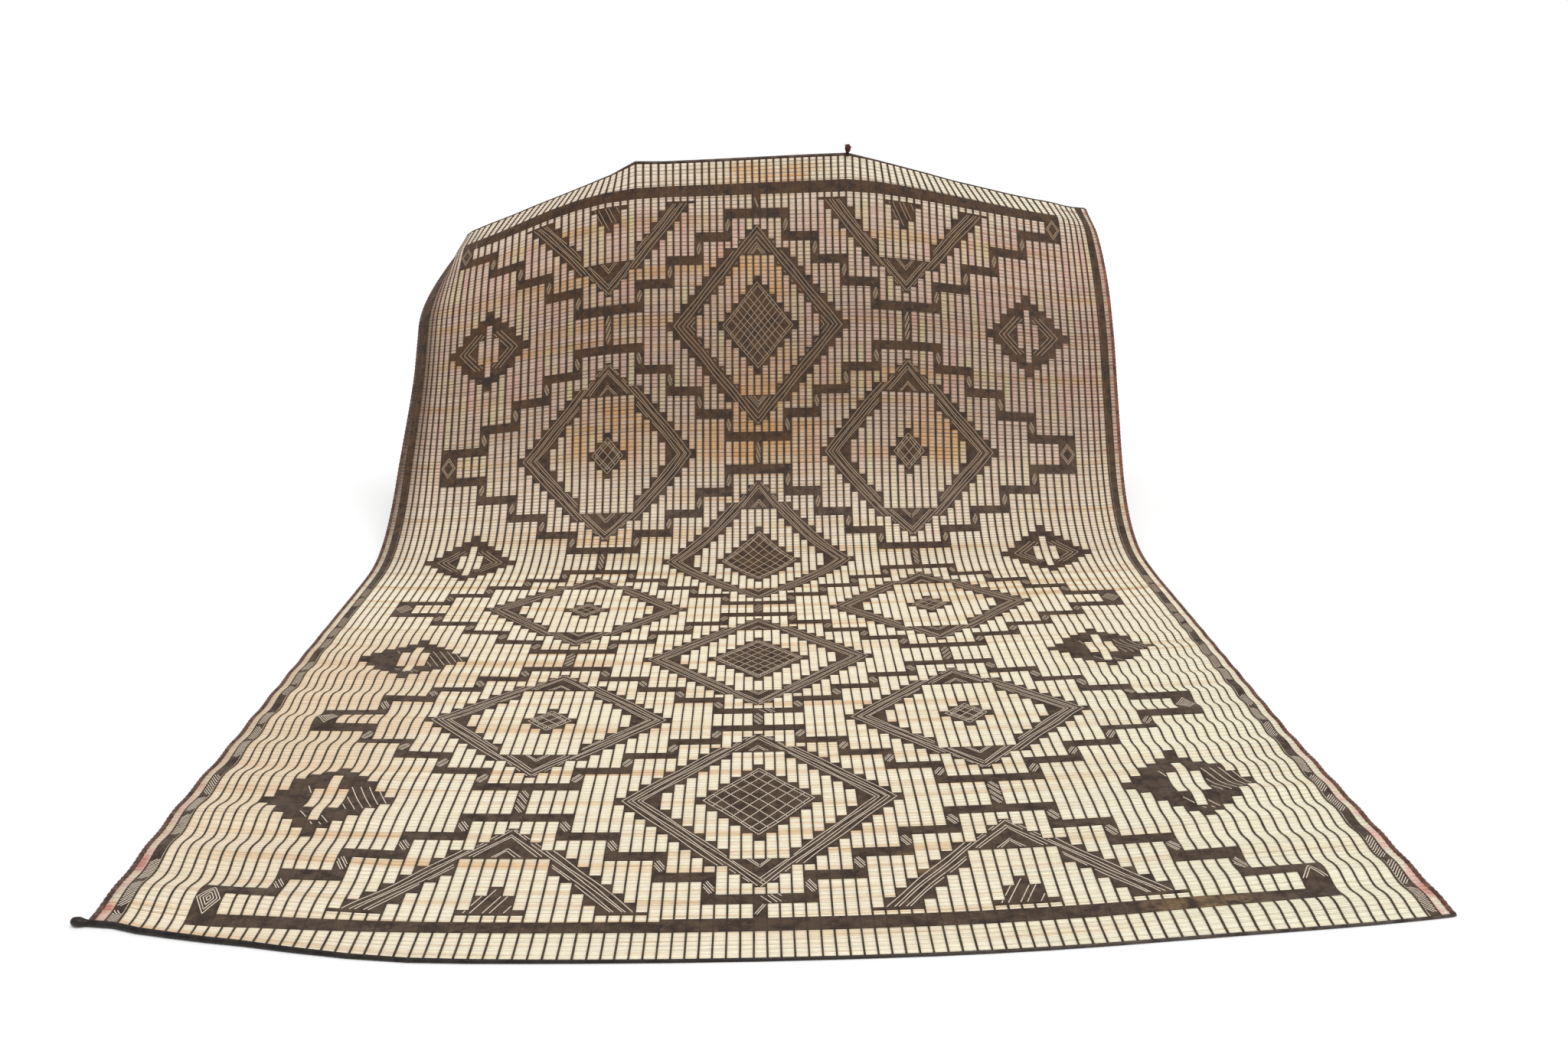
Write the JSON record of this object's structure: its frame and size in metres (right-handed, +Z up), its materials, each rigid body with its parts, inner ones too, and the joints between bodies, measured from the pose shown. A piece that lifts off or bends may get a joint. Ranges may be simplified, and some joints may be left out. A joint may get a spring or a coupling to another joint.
{
  "type": "reed and leather mat",
  "caption": "Large reed and leather mat: the far end is held up by two points of its edge, the near end lies on the floor in soft ripples.",
  "frame": {"origin": "centre of the footprint, on the floor", "axes": "+X across the mat along the reeds, +Y from the near end on the floor to the raised far end, +Z up"},
  "size_m": [2.7173, 3.9636, 1.3956],
  "materials": {
    "reed_sheet": "matte",
    "side_leather": "satin",
    "near_roll_leather": "satin",
    "far_roll_leather": "satin",
    "thread": "matte"
  },
  "bodies": {
    "root": {"mat_sheet": "reed_sheet", "side_binding_left": "side_leather", "side_binding_right": "side_leather", "near_roll": "near_roll_leather", "far_roll": "far_roll_leather", "hold_knot": "thread"}
  },
  "joints": []
}
